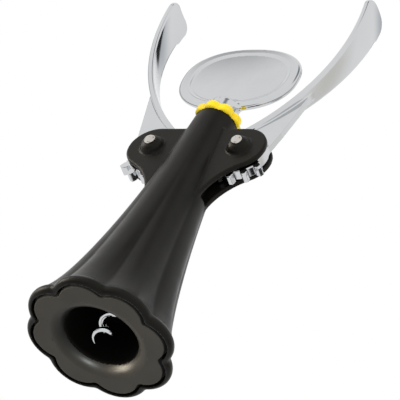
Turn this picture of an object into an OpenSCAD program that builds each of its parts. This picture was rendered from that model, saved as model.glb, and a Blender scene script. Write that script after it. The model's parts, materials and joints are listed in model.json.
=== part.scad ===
// Wing corkscrew, in millimetres.
// Origin: centre of the foot's resting plane. +Z: up the screw axis. +X: right lever. -Y: front.
// Rest pose: both levers raised, rack at its lowest.

/* [Body] */
// Height of the neck's shoulder above the resting plane
body_h = 143; // [135:1:155]
// Radius of the neck at its top
neck_r = 10; // [9.6:0.1:12]
// Radius of the foot's rim at the lobes
foot_r = 35; // [34:0.5:40]
// Depth of the scallops of the foot's rim
scallop = 3.1; // [1:0.1:3.6]
// Number of lobes round the foot
lobes = 8; // [6:1:10]
// Height of the rim band
rim_h = 5.5; // [4.5:0.1:7]
// Step from the rim band in to the bell
rim_step = 1.6; // [1:0.1:2.2]
// Wall of the bell
body_wall = 2.8; // [2:0.1:3.2]
// Height of the hollow in the bell
cavity_h = 62; // [50:1:66]

/* [Mouth] */
// Radius of the mouth plate at its lobes
plate_r = 32; // [31:0.1:32.2]
// Depth of the scallops of the mouth plate
plate_scallop = 4.5; // [2:0.1:5]
// Shadow gap between the mouth plate and the rim
plate_gap = 0.9; // [0.4:0.1:1.2]
// Thickness of the mouth plate
plate_t = 3.4; // [2.5:0.1:4]
// Height of the mouth plate above the resting plane
plate_inset = 0.5; // [0.2:0.1:1]
// Outer radius of the spigot that locates the mouth plate
spigot_r = 25; // [24:0.1:25.2]
// Height of that spigot
spigot_h = 4; // [3:0.5:5]
// Radius of the mouth, which takes a bottle's neck
throat_r = 17; // [15.5:0.1:17.4]
// Rounding of the mouth's lip
lip_round = 4.5; // [2:0.1:5]
// Height of the bottle guide's top above the resting plane
guide_top = 30; // [24:1:31]
// Wall of the bottle guide
guide_wall = 1.6; // [1.2:0.1:1.8]
// Radius of the hole in the bottle stop
stop_r = 12.5; // [9:0.5:14]
// Thickness of the bottle stop
stop_t = 2; // [1.5:0.1:3]

/* [Yoke] */
// Distance of each lever pivot from the screw axis
pivot_x = 22; // [21.8:0.1:22.6]
// Height of the lever pivots
pivot_z = 121.5; // [118:0.5:123]
// Radius of the yoke's ends about the pivots
yoke_r = 12.7; // [12:0.1:13.2]
// Distance of the yoke's outer faces from the middle plane
yoke_half = 5.5; // [5:0.1:6.5]
// Half of the slot that takes a gear sector
slot_half = 3; // [2.9:0.05:3.4]
// Radius of the sweep under the yoke's arms
sweep_r = 30; // [24:1:34]
// Distance of the sweep's foot from the screw axis
waist_x = 13.5; // [12.5:0.1:14.5]
// Distance of the slot's floor from the screw axis
slot_floor_x = 10.5; // [10:0.1:11.5]
// Height of the slot's lower end
slot_bottom = 91; // [88:1:96]
// Height of the pivot bosses
boss_h = 4; // [2:0.1:5]
// Radius of a boss at its base
boss_base_r = 5.5; // [4.5:0.1:6.5]
// Radius of a boss at its top
boss_top_r = 3.3; // [3:0.1:4]

/* [Gears and rack] */
// Gear module: pitch diameter divided by the number of teeth
gear_module = 2.2; // [2.1:0.01:2.25]
// Teeth that a full circle would have
gear_teeth = 14; // [14:1:14]
// Teeth left on each sector
sector_teeth = 7; // [6:1:7]
// Pressure angle of the teeth
pressure = 20; // [18:1:22]
// Height of a gear tooth above the pitch line
gear_add = 1.65; // [1.3:0.05:1.8]
// Height of a rack ring above the pitch line
rack_add = 1.5; // [1.2:0.05:1.6]
// Gap at the roots of the teeth
root_gap = 0.35; // [0.25:0.05:0.5]
// Play between the flanks, along the pitch line
backlash = 0.4; // [0.3:0.05:0.6]
// Turn of a lever from raised to lowered, in degrees
lever_turn = 140; // [120:1:140]
// Radial clearance of running fits
run_fit = 0.05; // [0.03:0.01:0.08]

/* [Levers] */
// Thickness of the gear sector and the web
lever_t = 5; // [4.6:0.05:5]
// Distance of the lever's tip outside its pivot
lever_out = 27.6; // [26:0.1:29]
// Distance of the lever's tip above its pivot
lever_up = 103; // [99:0.5:106]
// Radius of the strap's inner face
lever_arc_r = 97; // [95:0.5:99]
// Inward lean of the strap at its tip, in degrees
tip_lean = 8.6; // [7.6:0.1:9.6]
// Arc that the strap covers, in degrees
strap_arc = 61.8; // [60.8:0.1:62]
// Thickness of the strap
strap_t = 3; // [2.4:0.1:3.6]
// Half width of the strap at its root
strap_half = 2.4; // [2:0.05:2.4]
// Half width of the paddle
paddle_half = 10; // [8:0.1:12]
// Radius of the pivot pins
pin_r = 2; // [1.6:0.1:2.3]
// Radius of the pins' front heads
pin_head_r = 2.6; // [2.5:0.1:3]
// Radius of the washers beside each sector
washer_r = 5; // [4:0.1:6]
// Thickness of those washers
washer_t = 0.4; // [0.3:0.05:0.4]

/* [Collar] */
// Outer radius of the collar at its lobes
collar_r = 11.3; // [10.8:0.1:13]
// Depth of the collar's scallops
collar_scallop = 0.8; // [0.4:0.1:1]
// Number of lobes round the collar
collar_lobes = 8; // [8:1:14]
// Height of the collar
collar_h = 3.2; // [2.8:0.1:4.5]
// Height of the spigot on the neck that the collar sits on
neck_spigot_h = 1.4; // [1:0.1:1.8]
// Wall of that spigot
neck_spigot_wall = 1; // [0.8:0.05:1.2]

/* [Turning parts] */
// Radius of the spindle
spindle_r = 3; // [2.6:0.1:3.2]
// Height of the spindle's lower end
spindle_bottom = 57; // [54:1:60]
// Thickness of the thrust washer under the key
thrust_t = 0.8; // [0.5:0.1:1.2]
// Radius of the thrust washer
thrust_r = 6.8; // [5.5:0.1:7.2]
// Thickness of the circlip
clip_t = 1; // [0.8:0.1:1.2]
// Outer radius of the circlip
clip_r = 4.8; // [4.4:0.1:5.5]
// Outer radius of the worm
worm_r = 4.7; // [4.2:0.1:5]
// Radius of the worm's wire
wire_r = 1.6; // [1.3:0.05:1.7]
// Pitch of the worm
worm_pitch = 10; // [8:0.5:11]
// Height of the worm's tip
worm_tip = 0.5; // [0.5:0.5:6]
// Compass angle of the worm's tip about the axis, in degrees
worm_aim = 140; // [0:5:355]
// Depth of the worm's shank in the spindle
shank_len = 13; // [10:1:15]
// Radius of the cross pin through the shank
worm_pin_r = 0.7; // [0.5:0.05:0.8]

/* [Key] */
// Width of the turning key
key_w = 60; // [50:1:62]
// Height of the key's oval
key_h = 42; // [36:1:46]
// Thickness of the key
key_t = 4; // [3:0.1:5]
// Width of the bevel round the key
key_bevel = 1; // [0.5:0.1:1.3]
// Height of the oval's lower edge above the hub's lower end
key_rise = 7.5; // [5:0.5:9]
// Radius of the key's hub
hub_r = 7; // [6:0.1:7.4]
// Height of the hub
hub_h = 11; // [9:0.5:14]
// Radius of the cross pin through the hub
key_pin_r = 1; // [0.8:0.05:1.3]

/* [Hidden] */
$fn = 96;

// Colours
black_plastic = [0.12, 0.12, 0.12];
yellow_plastic = [0.98, 0.80, 0.05];
chrome = [0.80, 0.81, 0.83];
steel = [0.66, 0.66, 0.68];
nylon = [0.85, 0.85, 0.80];

// Small fixed allowances: a cut's overshoot, a seated face's gap and a snug fit
over = 1;
seat_gap = 0.1;
snug = 0.02;

// Gears and rack
gear_pitch_r = gear_module * gear_teeth / 2;
gear_base_r = gear_pitch_r * cos(pressure);
gear_tip_r = gear_pitch_r + gear_add;
gear_root_r = gear_pitch_r - rack_add - root_gap;
rack_pitch_r = pivot_x - gear_pitch_r;
rack_r = rack_pitch_r + rack_add;
rack_root_r = rack_pitch_r - gear_add - root_gap;
ring_pitch = PI * gear_module;
tooth_step = 360 / gear_teeth;
rack_travel = gear_pitch_r * lever_turn * PI / 180;
rack_bore_r = rack_r + run_fit;
gear_room = 0.75;
slot_gear_r = gear_tip_r + gear_room;

// Heights up the screw axis
rack_sink = 1.6;
spindle_sink = 1.5;
key_pin_share = 0.45;
collar_top = body_h + collar_h;
rack_top = collar_top - rack_sink;
rack_bottom = pivot_z - rack_travel - ring_pitch;
plain_bottom = pivot_z + ring_pitch;
hub_bottom = rack_top + thrust_t + seat_gap;
spindle_top = hub_bottom + hub_h - spindle_sink;
key_z = hub_bottom + key_rise + key_h / 2;
key_pin_z = hub_bottom + hub_h * key_pin_share;
plate_top = plate_inset + plate_t;
neck_spigot_r = rack_bore_r + neck_spigot_wall;

// Foot of the bell, inside the rim band
bell_foot_r = foot_r - rim_step;

// Radius of a scalloped outline, an arc per lobe, towards an angle
function lobe_centre(r, depth, n) =
    (r * r - (r - depth) * (r - depth)) / (2 * (r - (r - depth) * cos(180 / n)));
function lobe_angle(a, n) = a - round(a * n / 360) * 360 / n;
function lobe_radius(a, r, depth, n) =
    let (d = lobe_centre(r, depth, n), b = lobe_angle(a, n))
    d * cos(b) + sqrt(pow(r - d, 2) - pow(d * sin(b), 2));

// Scalloped outline with true arcs
module scalloped(r, depth, n) {
    d = lobe_centre(r, depth, n);
    circle(r = d);
    for (k = [0 : n - 1])
        rotate(k * 360 / n) translate([d, 0]) circle(r = r - d);
}

// Closed skin over a list of rings that have the same number of points
module loft(rings) {
    n = len(rings[0]);
    m = len(rings);
    points = concat([for (ring = rings) each ring], [centre_of(rings[0]), centre_of(rings[m - 1])]);
    sides = [for (i = [0 : m - 2], j = [0 : n - 1]) let (k = (j + 1) % n)
        each [[i * n + j, (i + 1) * n + j, (i + 1) * n + k], [i * n + j, (i + 1) * n + k, i * n + k]]];
    low = [for (j = [0 : n - 1]) [n * m, j, (j + 1) % n]];
    high = [for (j = [0 : n - 1]) [n * m + 1, (m - 1) * n + (j + 1) % n, (m - 1) * n + j]];
    polyhedron(points = points, faces = concat(sides, low, high));
}
function centre_of(ring) = [for (c = [0 : 2]) total([for (p = ring) p[c]]) / len(ring)];
function total(v, i = 0) = i == len(v) ? 0 : v[i] + total(v, i + 1);

// Bell: from the neck the radius grows by a straight taper, a swell and a late flare
bell_taper = 0.41;
bell_swell = 0.46;
bell_flare = 0.13;
bell_swell_power = 2.5;
bell_flare_power = 14;
flute_power = 3;
function bell_u(z) = (body_h - z) / (body_h - rim_h);
function bell_growth(u) =
    bell_taper * u + bell_swell * pow(u, bell_swell_power) + bell_flare * pow(u, bell_flare_power);
function bell_r(z) = neck_r + (bell_foot_r - neck_r) * bell_growth(bell_u(z));
// The scallops of the foot run up the bell as flutes that fade away
function flute(z) = scallop * pow(bell_u(z), flute_power);

// Rim band: [height, inset] of its rounded section, from the resting plane up
rim_round = 0.9;
rim_section = concat(
    [for (a = [90 : -30 : 0]) rim_round * [1 - sin(a), 1 - cos(a)]],
    [for (a = [0 : 30 : 90]) [rim_h, 0] + rim_round * [sin(a) - 1, 1 - cos(a)]]
);
rim_crease = 0.4;
bell_start = rim_h + rim_crease;
bell_levels = 18;
bell_level_power = 1.6;
points_per_lobe = 8;
bell_angles = [for (i = [0 : lobes * points_per_lobe - 1]) i * 360 / (lobes * points_per_lobe)];
function rim_ring(s) = [for (a = bell_angles)
    let (r = lobe_radius(a, foot_r, scallop, lobes) - s[1]) [r * cos(a), r * sin(a), s[0]]];
function bell_ring(z) = [for (a = bell_angles)
    let (r = bell_r(z) - flute(z) * (foot_r - lobe_radius(a, foot_r, scallop, lobes)) / scallop)
    [r * cos(a), r * sin(a), z]];
function bell_z(i) = bell_start + (body_h - bell_start) * pow(i / bell_levels, bell_level_power);

module bell_outside() {
    loft(concat([for (s = rim_section) rim_ring(s)], [for (i = [0 : bell_levels]) bell_ring(bell_z(i))]));
}

// Hollow of the bell, which follows the inside of the flutes
cavity_steps = 12;
cavity_start = plate_top + spigot_h + over;
function cavity_r(z) = bell_r(z) - flute(z) - body_wall;
module bell_inside() {
    rotate_extrude() polygon(concat(
        [[0, plate_top - over], [spigot_r + run_fit, plate_top - over], [spigot_r + run_fit, cavity_start]],
        [for (i = [0 : cavity_steps])
            let (z = cavity_start + (cavity_h - cavity_start) * i / cavity_steps) [cavity_r(z), z]],
        [[0, cavity_h]]
    ));
}

// Yoke outline, drawn in X and Z for the right arm
sweep_x = waist_x + sweep_r;
sweep_centre = [sweep_x, pivot_z - sqrt(pow(sweep_r + yoke_r, 2) - pow(sweep_x - pivot_x, 2))];
sweep_touch = [pivot_x, pivot_z] + (sweep_centre - [pivot_x, pivot_z]) * yoke_r / (sweep_r + yoke_r);
module yoke_arm() {
    translate([pivot_x, pivot_z]) circle(r = yoke_r);
    difference() {
        polygon([
            [0, sweep_centre[1]], [waist_x, sweep_centre[1]], sweep_touch,
            [pivot_x, pivot_z], [pivot_x, pivot_z + yoke_r], [0, pivot_z + yoke_r]
        ]);
        translate(sweep_centre) circle(r = sweep_r);
    }
}
// Turns a drawing in X and Z into a plate about the middle plane
module plate_xz(t) {
    rotate([90, 0, 0]) linear_extrude(height = t, center = true) children();
}
module both_sides() {
    children();
    mirror([1, 0, 0]) children();
}
// Puts a child that is drawn about Z on the right pivot's axis, with its +Z to the front
module on_pivot() {
    translate([pivot_x, 0, pivot_z]) rotate([90, 0, 0]) children();
}

module gear_slot() {
    plate_xz(2 * slot_half) {
        translate([pivot_x, pivot_z]) circle(r = slot_gear_r);
        translate([slot_floor_x, slot_bottom])
            square([pivot_x + yoke_r, pivot_z + yoke_r - slot_bottom]);
    }
}

module body_shell() {
    color(black_plastic) difference() {
        union() {
            bell_outside();
            both_sides() plate_xz(2 * yoke_half) yoke_arm();
            both_sides() on_pivot() front_and_back_boss();
            translate([0, 0, body_h - over]) cylinder(r = neck_spigot_r, h = neck_spigot_h + over);
        }
        bell_inside();
        translate([0, 0, cavity_h - over])
            cylinder(r = rack_bore_r, h = body_h + neck_spigot_h - cavity_h + 2 * over);
        translate([0, 0, -over]) linear_extrude(height = plate_top + over)
            scalloped(plate_r + plate_gap, plate_scallop, lobes);
        both_sides() gear_slot();
        both_sides() on_pivot()
            cylinder(r = pin_r + snug, h = 2 * (yoke_half + boss_h + over), center = true);
    }
}
module front_and_back_boss() {
    for (turn = [0, 180])
        rotate([turn, 0, 0]) translate([0, 0, yoke_half - over / 2])
            cylinder(r1 = boss_base_r, r2 = boss_top_r, h = boss_h + over / 2);
}

module mouth_plate() {
    lip_top = plate_inset + lip_round;
    color(black_plastic) difference() {
        union() {
            translate([0, 0, plate_inset]) linear_extrude(height = plate_t)
                scalloped(plate_r, plate_scallop, lobes);
            translate([0, 0, plate_inset]) cylinder(r = spigot_r, h = plate_t + spigot_h);
            translate([0, 0, plate_inset]) cylinder(r = throat_r + guide_wall, h = guide_top - plate_inset);
        }
        // Room behind the plate, between its spigot and the bottle guide
        translate([0, 0, plate_top]) difference() {
            cylinder(r = spigot_r - guide_wall, h = spigot_h + over);
            cylinder(r = throat_r + guide_wall, h = spigot_h + over);
        }
        // Mouth with its rolled lip
        rotate_extrude() difference() {
            translate([0, plate_inset - over]) square([throat_r + lip_round, lip_round + over]);
            translate([throat_r + lip_round, lip_top]) circle(r = lip_round);
        }
        translate([0, 0, lip_top - over]) cylinder(r = throat_r, h = guide_top - stop_t - lip_top + over);
        translate([0, 0, guide_top - stop_t - over]) cylinder(r = stop_r, h = stop_t + 2 * over);
    }
}

module collar() {
    color(yellow_plastic) difference() {
        translate([0, 0, body_h]) linear_extrude(height = collar_h)
            scalloped(collar_r, collar_scallop, collar_lobes);
        translate([0, 0, body_h - over]) cylinder(r = neck_spigot_r + snug, h = neck_spigot_h + over);
        translate([0, 0, body_h]) cylinder(r = rack_bore_r, h = collar_h + over);
    }
}

// Pivot pin with its front head, and the cap pushed on its back end
pin_reach = yoke_half + boss_h;
pin_head_h = 0.8;
pin_tail = 1.2;
cap_wall = 0.9;
module pivot_pin() {
    color(steel) on_pivot() {
        translate([0, 0, -pin_reach - pin_tail])
            cylinder(r = pin_r, h = 2 * pin_reach + pin_tail + pin_head_h / 2);
        translate([0, 0, pin_reach])
            cylinder(r1 = pin_head_r, r2 = pin_head_r - pin_head_h / 2, h = pin_head_h);
    }
}
module pin_cap() {
    color(steel) on_pivot() translate([0, 0, -pin_reach]) difference() {
        translate([0, 0, -pin_tail - snug - cap_wall])
            cylinder(r = pin_r + cap_wall, h = pin_tail + snug + cap_wall);
        translate([0, 0, -pin_tail - snug]) cylinder(r = pin_r + snug, h = pin_tail + snug + over);
    }
}
module pivot_pin_left() { mirror([1, 0, 0]) pivot_pin(); }
module pivot_pin_right() { pivot_pin(); }
module pin_cap_left() { mirror([1, 0, 0]) pin_cap(); }
module pin_cap_right() { pin_cap(); }

// The two washers of one sector, midway between its faces and the slot's walls
module gear_washers() {
    washer_mid = (lever_t / 2 + slot_half) / 2;
    color(nylon) on_pivot() for (side = [-1, 1])
        translate([0, 0, side * washer_mid]) difference() {
            cylinder(r = washer_r, h = washer_t, center = true);
            cylinder(r = pin_r + run_fit, h = washer_t + over, center = true);
        }
}
module gear_washers_left() { mirror([1, 0, 0]) gear_washers(); }
module gear_washers_right() { gear_washers(); }

// Involute teeth. The half angle of a tooth at radius r, seen from the gear's centre
function involute(a) = tan(a) - a * PI / 180;
function roll(r) = r <= gear_base_r ? 0 : involute(acos(gear_base_r / r));
function tooth_half(r) =
    90 / gear_teeth + (roll(gear_pitch_r) - roll(r) - backlash / 4 / gear_pitch_r) * 180 / PI;
flank_steps = 6;
flank_radii = concat(
    [gear_root_r - over],
    [for (i = [0 : flank_steps]) gear_base_r + (gear_tip_r - gear_base_r) * i / flank_steps]
);
module tooth() {
    polygon(concat(
        [for (r = flank_radii) r * [cos(tooth_half(r)), -sin(tooth_half(r))]],
        [for (i = [len(flank_radii) - 1 : -1 : 0])
            let (r = flank_radii[i]) r * [cos(tooth_half(r)), sin(tooth_half(r))]]
    ));
}
// At rest a gap of the sector faces the rack. Its teeth go round from just above it, below the pivot
module gear_sector() {
    circle(r = gear_root_r);
    for (i = [0 : sector_teeth - 1])
        rotate(180 + (i - 0.5) * tooth_step) tooth();
}

// Strap of the right lever: it follows an arc and widens into a paddle with a rounded end
tip = [pivot_x + lever_out, pivot_z + lever_up];
arc_centre = tip - lever_arc_r * [cos(tip_lean), sin(tip_lean)];
strap_steps = 22;
strap_sides = 16;
end_steps = 5;
end_share = 0.93;
end_draw = 0.92;
end_thin = 0.4;
widening = 1.7;
function on_arc(r, a) = arc_centre + r * [cos(a), sin(a)];
function strap_angle(v) = tip_lean - strap_arc * (1 - v);
function rounded_end(v) = v < end_share ? 1
    : sqrt(1 - pow((v - end_share) / (1 - end_share) * end_draw, 2));
function strap_width(v) = (strap_half + (paddle_half - strap_half) * pow(v, widening)) * rounded_end(v);
function strap_depth(v) = strap_t / 2 * (1 - end_thin * (1 - rounded_end(v)));
function squarish(x) = sign(x) * pow(abs(x), 0.45);
function strap_ring(v) = [for (j = [0 : strap_sides - 1])
    let (q = j * 360 / strap_sides,
        p = on_arc(lever_arc_r + strap_t / 2 + strap_depth(v) * squarish(sin(q)), strap_angle(v)))
    [p[0], -strap_width(v) * squarish(cos(q)), p[1]]];
function strap_v(i) = let (k = i - strap_steps + end_steps)
    k < 0 ? end_share * i / (strap_steps - end_steps) : end_share + (1 - end_share) * sin(k * 90 / end_steps);

// Web behind the strap. Its outer edge runs from the sector up to the strap
web_steps = 8;
web_end_v = 0.42;
web_edge = [[10.5, -8], [12.6, 4], [14.3, 14], [16.7, 26], [18.5, 36], [19.4, 42]];
module lever_side() {
    translate([pivot_x, pivot_z]) gear_sector();
    polygon(concat(
        [[pivot_x, pivot_z]],
        [for (p = web_edge) [pivot_x, pivot_z] + p],
        [for (i = [web_steps : -1 : 0])
            on_arc(lever_arc_r + strap_t / 2, strap_angle(web_end_v * i / web_steps))]
    ));
}
module lever() {
    color(chrome) difference() {
        union() {
            plate_xz(lever_t) lever_side();
            loft([for (i = [0 : strap_steps]) strap_ring(strap_v(i))]);
        }
        on_pivot() cylinder(r = pin_r + run_fit, h = lever_t + 2 * over, center = true);
    }
}
module lever_left() { mirror([1, 0, 0]) lever(); }
module lever_right() { lever(); }

// Rack: rings that both sectors drive, under a plain shank that the neck and the collar guide
ring_half = ring_pitch / 4 - backlash / 4;
ring_slope = tan(pressure);
rings_below = floor((pivot_z - rack_bottom) / ring_pitch);
module rack_ring(z) {
    translate([0, 0, z]) rotate_extrude() polygon([
        [rack_root_r - over / 2, -ring_half - (gear_add + root_gap + over / 2) * ring_slope],
        [rack_r, -ring_half + rack_add * ring_slope],
        [rack_r, ring_half - rack_add * ring_slope],
        [rack_root_r - over / 2, ring_half + (gear_add + root_gap + over / 2) * ring_slope]
    ]);
}
module rack_sleeve() {
    color(steel) difference() {
        union() {
            translate([0, 0, rack_bottom]) cylinder(r = rack_root_r, h = rack_top - rack_bottom);
            for (k = [1 - rings_below : 0]) rack_ring(pivot_z + k * ring_pitch);
            translate([0, 0, plain_bottom - ring_half])
                cylinder(r = rack_r, h = rack_top - plain_bottom + ring_half);
        }
        translate([0, 0, rack_bottom - over])
            cylinder(r = spindle_r + run_fit, h = rack_top - rack_bottom + 2 * over);
    }
}

module thrust_washer() {
    color(nylon) translate([0, 0, rack_top]) difference() {
        cylinder(r = thrust_r, h = thrust_t);
        translate([0, 0, -over]) cylinder(r = spindle_r + run_fit, h = thrust_t + 2 * over);
    }
}

// Spindle, with a groove for the circlip and a socket for the worm's shank
clip_top = rack_bottom - seat_gap;
groove_depth = 0.5;
groove_r = spindle_r - groove_depth;
clip_bite = 0.3;
worm_pin_z = spindle_bottom + shank_len / 2;
module spindle() {
    color(steel) difference() {
        translate([0, 0, spindle_bottom]) cylinder(r = spindle_r, h = spindle_top - spindle_bottom);
        translate([0, 0, clip_top - clip_t - snug]) difference() {
            cylinder(r = spindle_r + over, h = clip_t + 2 * snug);
            translate([0, 0, -over]) cylinder(r = groove_r, h = clip_t + 2 * over);
        }
        translate([0, 0, spindle_bottom - over]) cylinder(r = wire_r + snug, h = shank_len + over + seat_gap);
        translate([0, 0, worm_pin_z]) rotate([90, 0, 0])
            cylinder(r = worm_pin_r + snug, h = 2 * (spindle_r + over), center = true);
        translate([0, 0, key_pin_z]) rotate([90, 0, 0])
            cylinder(r = key_pin_r + snug, h = 2 * (spindle_r + over), center = true);
    }
}

module circlip() {
    mouth = 2 * (groove_r - clip_bite);
    color(steel) translate([0, 0, clip_top - clip_t]) difference() {
        cylinder(r = clip_r, h = clip_t);
        translate([0, 0, -over]) cylinder(r = groove_r + snug, h = clip_t + 2 * over);
        translate([0, -mouth / 2, -over]) cube([clip_r + over, mouth, clip_t + 2 * over]);
    }
}

// Worm: a round wire on a helix, ground to a point below, that runs into the shank above
helix_r = worm_r - wire_r;
shank_neck = 3;
worm_top = spindle_bottom - shank_neck;
worm_turns = (worm_top - worm_tip) / worm_pitch;
rings_per_turn = 16;
worm_rings = ceil(worm_turns * rings_per_turn);
wire_sides = 10;
point_turns = 0.7;
join_turns = 0.6;
point_share = 0.06;
full_share = 0.96;
function ease(x) = let (c = min(1, max(0, x))) c * c * (3 - 2 * c);
function worm_axis(t) = let (a = worm_aim + 360 * t, r = helix_r * ease((worm_turns - t) / join_turns))
    [r * cos(a), r * sin(a), worm_tip + worm_pitch * t];
function wire_at(t) =
    wire_r * (point_share + (full_share - point_share) * pow(min(1, t / point_turns), 0.8));
function unit(v) = v / norm(v);
function worm_ring(t) =
    let (along = unit(worm_axis(t + 0.01) - worm_axis(t - 0.01)),
        out = [cos(worm_aim + 360 * t), sin(worm_aim + 360 * t), 0],
        side = unit(cross(along, out)),
        face = cross(side, along))
    [for (j = [0 : wire_sides - 1]) let (q = j * 360 / wire_sides)
        worm_axis(t) + wire_at(t) * (face * cos(q) + side * sin(q))];
module worm() {
    color(chrome) difference() {
        union() {
            loft([for (i = [0 : worm_rings]) worm_ring(worm_turns * i / worm_rings)]);
            translate([0, 0, worm_top - wire_r])
                cylinder(r = wire_r, h = shank_neck + wire_r + shank_len);
        }
        translate([0, 0, worm_pin_z]) rotate([90, 0, 0])
            cylinder(r = worm_pin_r + snug, h = 2 * (wire_r + over), center = true);
    }
}
module worm_pin() {
    color(steel) translate([0, 0, worm_pin_z]) rotate([90, 0, 0])
        cylinder(r = worm_pin_r, h = 2 * spindle_r, center = true);
}

// Turning key: a bevelled oval on a round hub
oval_steps = 64;
oval_power = 2.3;
function oval_point(w, h, a) = [w / 2 * sign(cos(a)) * pow(abs(cos(a)), 2 / oval_power),
    h / 2 * sign(sin(a)) * pow(abs(sin(a)), 2 / oval_power)];
function oval_ring(inset, y) = [for (i = [0 : oval_steps - 1])
    let (p = oval_point(key_w - 2 * inset, key_h - 2 * inset, i * 360 / oval_steps)) [p[0], y, key_z + p[1]]];
// Rib that carries the hub's round section up into the plate
rib_steps = 10;
rib_sides = 32;
rib_len = key_h * 0.62;
rib_narrowing = 0.45;
rib_end_deep = key_t * 0.45;
function rib_ring(v) =
    let (wide = (hub_r - snug) * (1 - rib_narrowing * v),
        deep = rib_end_deep + (hub_r - snug - rib_end_deep) * pow(cos(90 * v), 1.6))
    [for (j = [0 : rib_sides - 1]) let (q = j * 360 / rib_sides)
        [wide * cos(q), deep * sin(q), hub_bottom + hub_h - over + (rib_len + over) * v]];
module turning_key() {
    color(chrome) difference() {
        union() {
            loft([
                oval_ring(key_bevel, key_t / 2), oval_ring(0, key_t / 2 - key_bevel),
                oval_ring(0, key_bevel - key_t / 2), oval_ring(key_bevel, -key_t / 2)
            ]);
            translate([0, 0, hub_bottom]) cylinder(r = hub_r, h = hub_h);
            loft([for (i = [0 : rib_steps]) rib_ring(i / rib_steps)]);
        }
        translate([0, 0, hub_bottom - over])
            cylinder(r = spindle_r + snug, h = spindle_top - hub_bottom + over + seat_gap);
        translate([0, 0, key_pin_z]) rotate([90, 0, 0])
            cylinder(r = key_pin_r + snug, h = 2 * (hub_r + over), center = true);
    }
}
module key_pin() {
    color(steel) translate([0, 0, key_pin_z]) rotate([90, 0, 0])
        cylinder(r = key_pin_r, h = 2 * hub_r, center = true);
}

body_shell();
mouth_plate();
collar();
pivot_pin_left();
pivot_pin_right();
pin_cap_left();
pin_cap_right();
gear_washers_left();
gear_washers_right();
lever_left();
lever_right();
rack_sleeve();
thrust_washer();
spindle();
circlip();
worm();
worm_pin();
turning_key();
key_pin();
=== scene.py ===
"""Wing corkscrew: its finish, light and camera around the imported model. Shapes are in millimetres."""
import json
import math

import bpy
import numpy as np
from mathutils import Matrix, Vector


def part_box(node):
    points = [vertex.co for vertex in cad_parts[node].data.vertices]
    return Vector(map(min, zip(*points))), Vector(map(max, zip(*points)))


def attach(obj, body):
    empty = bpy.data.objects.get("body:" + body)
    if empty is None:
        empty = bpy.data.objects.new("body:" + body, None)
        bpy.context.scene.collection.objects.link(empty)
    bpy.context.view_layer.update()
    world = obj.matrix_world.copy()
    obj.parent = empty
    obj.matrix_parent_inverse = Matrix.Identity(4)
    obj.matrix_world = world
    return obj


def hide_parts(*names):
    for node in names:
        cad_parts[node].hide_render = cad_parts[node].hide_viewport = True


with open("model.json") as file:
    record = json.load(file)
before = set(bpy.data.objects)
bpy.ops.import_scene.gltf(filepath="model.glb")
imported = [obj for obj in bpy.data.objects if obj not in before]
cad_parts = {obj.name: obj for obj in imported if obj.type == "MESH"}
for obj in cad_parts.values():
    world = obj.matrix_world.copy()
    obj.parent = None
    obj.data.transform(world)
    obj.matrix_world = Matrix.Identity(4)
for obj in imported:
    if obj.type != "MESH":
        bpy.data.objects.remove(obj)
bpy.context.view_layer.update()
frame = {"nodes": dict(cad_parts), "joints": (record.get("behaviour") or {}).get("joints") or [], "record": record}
scene = bpy.context.scene
MM = 0.001


def node_box(name):
    """Lowest and highest corner of a CAD node, in millimetres."""
    low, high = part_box(name)
    return low / MM, high / MM


def joint(name):
    return next(j for j in frame["joints"] if j["name"] == name)


# Places that come from the frame
PIVOT_X, _, PIVOT_Z = (value / MM for value in joint("right_lever_swing")["pos_m"])
FOOT_R = node_box("body_shell")[1].y
PLATE_R = node_box("mouth_plate")[1].y
# The plate is trimmed and lies a little nearer the rim than its solid, so that its seam shows all round
FACE_PROUD, PLATE_TRIM = 0.3, 0.3
PLATE_INSET = node_box("mouth_plate")[0].z - FACE_PROUD
GUIDE_TOP = node_box("mouth_plate")[1].z
COLLAR_LOW, COLLAR_TOP = node_box("collar")[0].z, node_box("collar")[1].z
COLLAR_R = node_box("collar")[1].x
BODY_H = COLLAR_LOW
SPIGOT_TOP = node_box("body_shell")[1].z
HUB_BOTTOM = node_box("turning_key")[0].z
KEY_TOP = node_box("turning_key")[1].z
KEY_HALF_W = node_box("turning_key")[1].x
HUB_R = node_box("turning_key")[1].y
SPINDLE_BOTTOM = node_box("spindle")[0].z

# Body
LOBES = 8
SCALLOP = 3.1
RIM_H = 5.5
RIM_ROUND = 2.5
RIM_STEP = 1.6
NECK_R = 10.0
BODY_WALL = 2.8
CAVITY_H = 62.0
BORE_R = 8.15
SPIGOT_R = 9.15
BELL_TAPER, BELL_SWELL, BELL_FLARE = 0.41, 0.46, 0.13
SWELL_POWER, FLARE_POWER, FLUTE_POWER = 2.5, 14, 2.5
HEM_SOFT, SEAM_SOFT, FLUTE_SOFT = 1.5, 2.4, 1.2
BODY_FILLET, POCKET_EDGE = 1.0, 0.5
SPIGOT_SUNK, BORE_LAP = 5.0, 2.0
SEAT_GAP, SEAT_ROOM = 0.1, 1.0

# Mouth
PLATE_SCALLOP = 4.5
PLATE_GAP = 0.9
PLATE_T, PLATE_EDGE, PLATE_LAP = 3.4, 0.5, 1.0
THROAT_R = 17.0
LIP_ROUND = 5.8
LIP_DEPTH = 3.7
GUIDE_WALL, TUBE_MARGIN = 1.6, 1.0
STOP_R, STOP_T = 12.5, 2.0
PLATE_SPIGOT_R, PLATE_SPIGOT_H = 25.0, 4.0
# The seam's painted shade: how far behind the plate's face it sets in, and how far outside the lip
SEAM_SHADE_DEPTHS, SEAM_SHADE_REACHES = (0.03, 0.12), (1, 2)

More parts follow.
